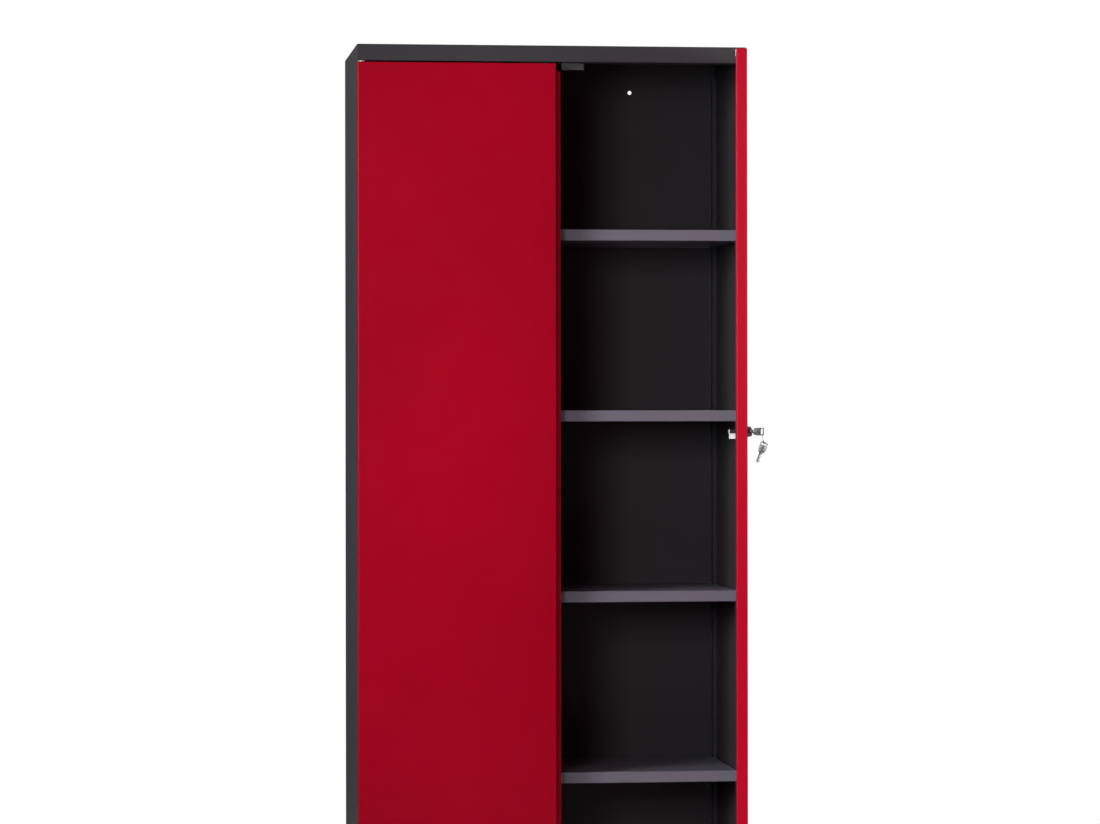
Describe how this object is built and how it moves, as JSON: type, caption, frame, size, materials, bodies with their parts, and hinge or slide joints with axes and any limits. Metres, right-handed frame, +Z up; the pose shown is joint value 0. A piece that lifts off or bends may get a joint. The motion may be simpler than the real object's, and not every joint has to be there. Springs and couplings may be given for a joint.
{
  "type": "two-door storage cabinet",
  "caption": "Tall sheet-steel storage cabinet with adjustable shelves behind hinged pan doors and a keyed cam lock with a key ring and spare key.",
  "frame": {"origin": "centre of the cabinet's footprint on the floor, at floor_rest", "axes": "+Z up, -Y out of the front, +X to the right seen from the front"},
  "size_m": [0.7653, 0.7305, 1.829],
  "materials": {
    "body_paint": "charcoal powder coat, satin, fine orange peel; clips and assembly screws are painted with the body",
    "shelf_paint": "mid-grey powder coat, satin",
    "door_paint": "deep red powder coat, semi-gloss",
    "zinc_steel": "bright zinc plate",
    "bush_nylon": "natural nylon",
    "catch_plastic": "moulded case with steel pole plates",
    "lock_black": "black satin die casting",
    "lock_steel": "worn nickel",
    "key_metal": "stamped nickel-plated steel",
    "ring_wire": "bright sprung wire"
  },
  "bodies": {
    "cabinet": {"left_side_panel": "body_paint", "right_side_panel": "body_paint", "back_panel": "body_paint", "top_panel": "body_paint", "base_panel": "body_paint", "deck_support": "body_paint", "shelf_1_clips": "body_paint", "shelf_2_clips": "body_paint", "shelf_3_clips": "body_paint", "shelf_4_clips": "body_paint", "back_screws": "body_paint", "base_screws": "body_paint", "top_screws": "body_paint", "left_front_standard": "body_paint", "left_rear_standard": "body_paint", "right_front_standard": "body_paint", "right_rear_standard": "body_paint", "shelf_1": "shelf_paint", "shelf_2": "shelf_paint", "shelf_3": "shelf_paint", "shelf_4": "shelf_paint", "left_upper_bush": "bush_nylon", "left_lower_bush": "bush_nylon", "right_upper_bush": "bush_nylon", "right_lower_bush": "bush_nylon", "left_catch": "catch_plastic", "right_catch": "catch_plastic"},
    "left_door": {"left_door_pan": "door_paint", "left_door_stiffener": "door_paint", "left_door_meeting_strip": "door_paint", "left_door_upper_pin": "zinc_steel", "left_door_lower_pin": "zinc_steel", "left_door_strike": "zinc_steel"},
    "right_door": {"right_door_pan": "door_paint", "right_door_stiffener": "door_paint", "right_door_upper_pin": "zinc_steel", "right_door_lower_pin": "zinc_steel", "right_door_strike": "zinc_steel", "lock_nut": "zinc_steel", "lock_housing": "lock_black"},
    "lock_cylinder": {"lock_plug": "lock_steel", "lock_cam": "zinc_steel", "cam_screw": "zinc_steel", "key": "key_metal"},
    "ring": {"key_ring": "ring_wire"},
    "spare": {"spare_key": "key_metal"}
  },
  "joints": [
    {"name": "left_door_hinge", "type": "hinge", "parent": "cabinet", "child": "left_door", "pos_m": [-0.373, -0.18, 0.9], "axis": [0, 0, -1], "range_deg": [0, 110]},
    {"name": "right_door_hinge", "type": "hinge", "parent": "cabinet", "child": "right_door", "pos_m": [0.373, -0.18, 0.9], "axis": [0, 0, 1], "range_deg": [-80.7, 29.3]},
    {"name": "lock_turn", "type": "hinge", "parent": "right_door", "child": "lock_cylinder", "pos_m": [0.317, -0.52195, 1.078], "axis": [-0.9869, 0.1616, 0], "range_deg": [0, 90]},
    {"name": "key_ring_swing", "type": "hinge", "parent": "lock_cylinder", "child": "ring", "pos_m": [0.35372, -0.52796, 1.0735], "axis": [0.1616, 0.9869, 0], "range_deg": [-18, 12]},
    {"name": "spare_key_swing", "type": "hinge", "parent": "ring", "child": "spare", "pos_m": [0.35761, -0.5286, 1.05492], "axis": [0.1616, 0.9869, 0], "range_deg": [-40, 3]}
  ]
}
